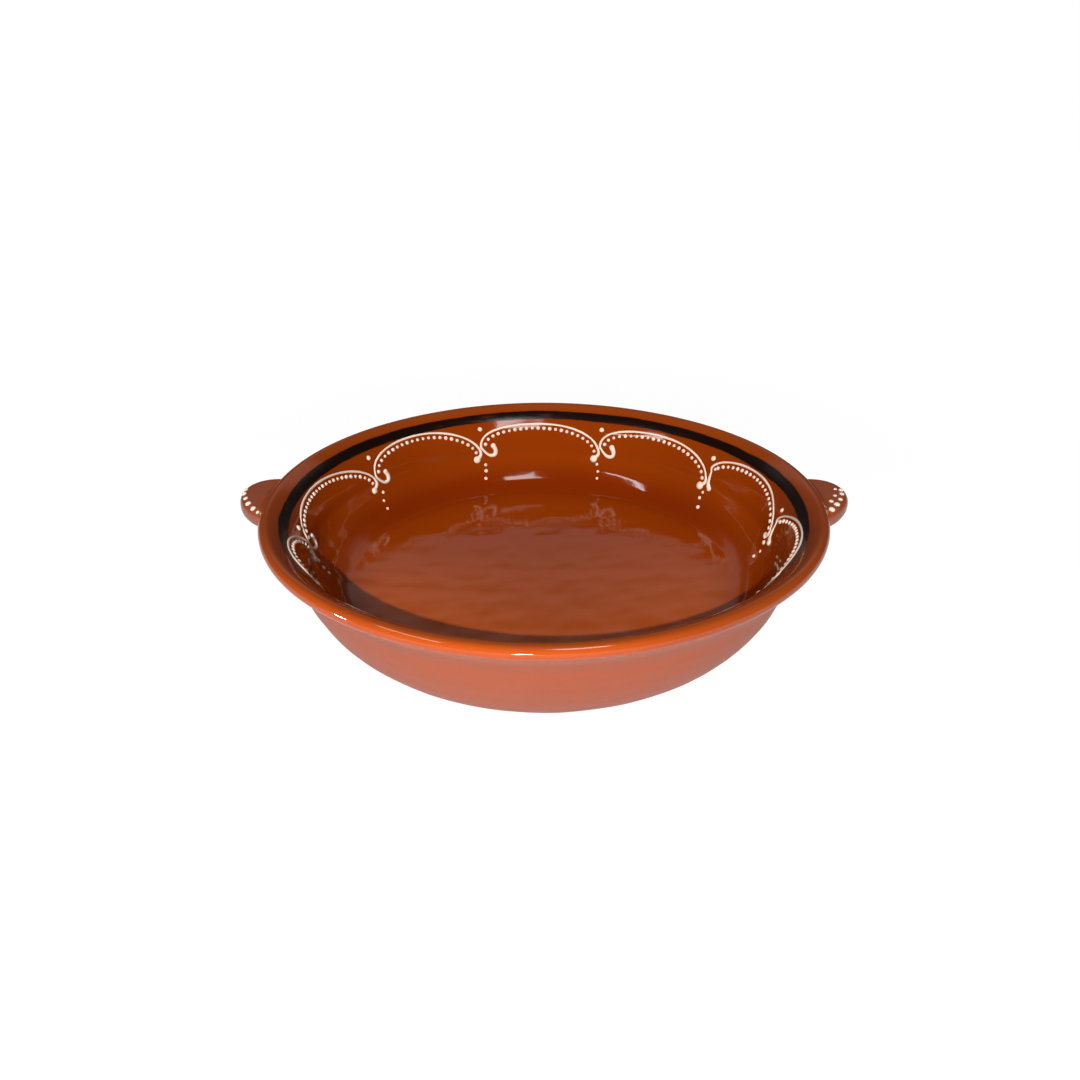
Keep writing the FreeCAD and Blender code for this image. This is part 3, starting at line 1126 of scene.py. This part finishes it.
def build_floor():
    """A pale floor that looks white to the camera but for the dish's soft shadow."""
    half = FLOOR_HALF
    mesh = bpy.data.meshes.new("floor")
    mesh.from_pydata([(-half, -half, 0), (half, -half, 0), (half, half, 0), (-half, half, 0)],
                     [], [(0, 1, 2, 3)])
    floor = bpy.data.objects.new("floor", mesh)
    bpy.context.scene.collection.objects.link(floor)
    finish = Finish("pale_floor")
    finish.tree.nodes.remove(finish.shader)
    plain = finish.add("ShaderNodeBsdfDiffuse")
    plain.inputs["Color"].default_value = opaque([FLOOR_TONE] * 3)
    seen = finish.add("ShaderNodeBsdfDiffuse")
    seen.inputs["Color"].default_value = opaque([SEEN_TONE] * 3)
    glow = finish.add("ShaderNodeEmission")
    away = finish.add("ShaderNodeVectorMath", operation="LENGTH")
    finish.link(finish.place, away.inputs[0])
    finish.link(finish.ramp(away.outputs["Value"], *GLOW_REACH, *GLOW), glow.inputs["Strength"])
    lit = finish.add("ShaderNodeAddShader")
    finish.join((seen, 0, lit, 0), (glow, 0, lit, 1))
    path = finish.add("ShaderNodeLightPath")
    finish.link(finish.choose(path.outputs["Is Camera Ray"], plain.outputs[0], lit.outputs[0]),
                finish.output.inputs[0])
    mesh.materials.append(finish.material)


LAMP_AIM = Vector((0, 0, 0.04))

# A small key lamp in front throws the rim's shadow, and the others shine in the glaze.
# Name, setting of its power, azimuth from the front towards +X, elevation, distance, width,
# height, and roll
LAMPS = (
    ("key_lamp", "key", -5.0, 30.6, 2.2, 0.03, 0.03, 0.0),
    ("top_lamp", "top", 0.0, 78.0, 1.5, 1.4, 1.4, 0.0),
    ("front_spark", "spark", -6.0, 1.8, 1.5, 0.14, 0.085, 0.0),
    ("side_spark", "spark", -72.0, 1.8, 1.5, 0.14, 0.085, 0.0),
    ("right_box", "box", 19.0, 58.0, 1.6, 0.42, 0.30, 0.0),
    ("left_strip", "strip", -58.0, 47.0, 1.6, 0.80, 0.07, -18.0),
)
NOT_IN_GLAZE = ("key_lamp", "top_lamp")
ONLY_IN_GLAZE = ("front_spark", "side_spark")


def build_lamps(light):
    for name, power, azimuth, elevation, distance, width, height, roll in LAMPS:
        data = bpy.data.lights.new(name, "AREA")
        data.energy = getattr(light, power)
        data.shape = "RECTANGLE"
        data.size, data.size_y = width, height
        lamp = bpy.data.objects.new(name, data)
        azimuth, elevation = math.radians(azimuth), math.radians(elevation)
        outwards = Vector((math.sin(azimuth) * math.cos(elevation),
                           -math.cos(azimuth) * math.cos(elevation),
                           math.sin(elevation)))
        lamp.location = LAMP_AIM + outwards * distance
        lamp.rotation_euler = outwards.to_track_quat("Z", "Y").to_euler()
        if roll:
            lamp.rotation_euler.rotate_axis("Z", math.radians(roll))
        lamp.visible_glossy = name not in NOT_IN_GLAZE
        lamp.visible_diffuse = name not in ONLY_IN_GLAZE
        bpy.context.scene.collection.objects.link(lamp)


# In the glaze: where the backdrop starts between the sides and the back, where it rises
# from the floor, and its upper edge, all as parts of the direction's length
BACKDROP_SIDES, BACKDROP_FOOT, BACKDROP_TOP = (0.55, 0.75), (0.40, 0.54), (0.60, 0.64)
SIDE_SHARE, FOOT_SHARE, TOP_SHARE = 0.06, 0.12, 0.05    # of its brightness, beyond these
ROOM_COLOUR, BACKDROP_COLOUR = (1.0, 0.985, 0.96), (1.0, 0.99, 0.98)


def build_room(scene, light):
    """White to the camera. In the glaze it is dark, with a white backdrop low behind."""
    world = bpy.data.worlds.new("studio")
    scene.world = world
    world.use_nodes = True
    nodes = Nodes(world.node_tree)

    def background(colour, strength):
        node = nodes.add("ShaderNodeBackground")
        node.inputs["Color"].default_value = opaque(colour)
        nodes.feed(node.inputs["Strength"], strength)
        return node.outputs[0]

    split = nodes.add("ShaderNodeSeparateXYZ")
    nodes.link(nodes.add("ShaderNodeTexCoord").outputs["Generated"], split.inputs[0])
    back, up = split.outputs["Y"], split.outputs["Z"]
    behind = nodes.ramp(back, *BACKDROP_SIDES, SIDE_SHARE, 1.0)
    rising = nodes.ramp(up, *BACKDROP_FOOT, light.backdrop * FOOT_SHARE, light.backdrop)
    under_top = nodes.ramp(up, *BACKDROP_TOP, 1.0, TOP_SHARE)
    backdrop = nodes.math("MULTIPLY", nodes.math("MULTIPLY", behind, rising), under_top)
    path = nodes.add("ShaderNodeLightPath")
    room = nodes.choose(path.outputs["Is Glossy Ray"], background(ROOM_COLOUR, light.ambient),
                        background(BACKDROP_COLOUR, backdrop))
    room = nodes.choose(path.outputs["Is Camera Ray"], room, background((1, 1, 1), 1.0))
    nodes.link(room, nodes.add("ShaderNodeOutputWorld").inputs[0])


# The camera's view, in the picture's own pixels, and its place
IMAGE_SIZE = 1080
FOCAL_PIXELS = 911.2
MIDDLE_PIXELS = (544.0, 498.2)
SENSOR_WIDTH = 36.0
CAMERA_TILT = math.radians(25.0)
CAMERA_DISTANCE = 0.464
CAMERA_AIM = 0.061


def build_camera(scene):
    data = bpy.data.cameras.new("camera")
    data.sensor_width = SENSOR_WIDTH
    data.lens = FOCAL_PIXELS / IMAGE_SIZE * SENSOR_WIDTH
    data.shift_x = (IMAGE_SIZE / 2 - MIDDLE_PIXELS[0]) / IMAGE_SIZE
    data.shift_y = (MIDDLE_PIXELS[1] - IMAGE_SIZE / 2) / IMAGE_SIZE
    data.clip_start, data.clip_end = 0.01, 50.0
    camera = bpy.data.objects.new("camera", data)
    camera.location = (0.0, -CAMERA_DISTANCE * math.cos(CAMERA_TILT),
                       CAMERA_AIM + CAMERA_DISTANCE * math.sin(CAMERA_TILT))
    camera.rotation_euler = Euler((math.pi / 2 - CAMERA_TILT, 0, 0))
    scene.collection.objects.link(camera)
    scene.camera = camera


STEPS = (DISH_OT_clay, DISH_OT_slip_lines, DISH_OT_slip_dots, DISH_OT_stage)


class DISH_PT_panel(bpy.types.Panel):
    bl_label = "Clay dish"
    bl_idname = "DISH_PT_panel"
    bl_space_type = "VIEW_3D"
    bl_region_type = "UI"
    bl_category = "Clay dish"

    def draw(self, context):
        for step in STEPS:
            self.layout.operator(step.bl_idname)


GROUPS = (("dish_sizes", DishSizes), ("dish_slip", SlipPattern),
          ("dish_colours", ClayColours), ("dish_light", StudioLight))


def register():
    for name, group in GROUPS:
        bpy.utils.register_class(group)
        setattr(bpy.types.Scene, name, PointerProperty(type=group))
    for step in (*STEPS, DISH_PT_panel):
        bpy.utils.register_class(step)


def unregister():
    for step in reversed((*STEPS, DISH_PT_panel)):
        bpy.utils.unregister_class(step)
    for name, group in reversed(GROUPS):
        delattr(bpy.types.Scene, name)
        bpy.utils.unregister_class(group)


def main():
    register()
    bpy.ops.dish.clay()
    bpy.ops.dish.slip_lines()
    bpy.ops.dish.slip_dots()
    bpy.ops.dish.stage()


if __name__ == "__main__":
    main()
